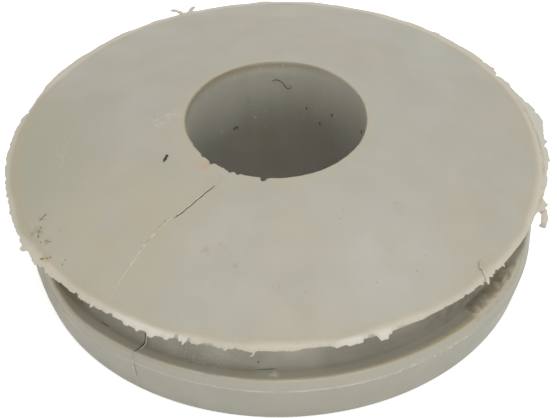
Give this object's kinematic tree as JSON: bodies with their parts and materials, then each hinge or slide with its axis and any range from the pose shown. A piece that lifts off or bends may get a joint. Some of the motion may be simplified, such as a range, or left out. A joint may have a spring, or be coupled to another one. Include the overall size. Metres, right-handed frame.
{
  "type": "rubber grommet",
  "caption": "Round rubber grommet with a domed head, a plain cable bore and a groove that holds the edge of a sheet panel.",
  "frame": {"origin": "centre of the bore on the plane that the foot stands on", "axes": "+Z runs along the bore from the foot to the domed head; X and Y lie across it and are alike, with the crack on the -Y, -X side"},
  "size_m": [0.0306, 0.0306, 0.0097],
  "materials": {
    "grey_rubber": "aged matt"
  },
  "bodies": {
    "root": {"grommet": "grey_rubber"}
  },
  "joints": []
}
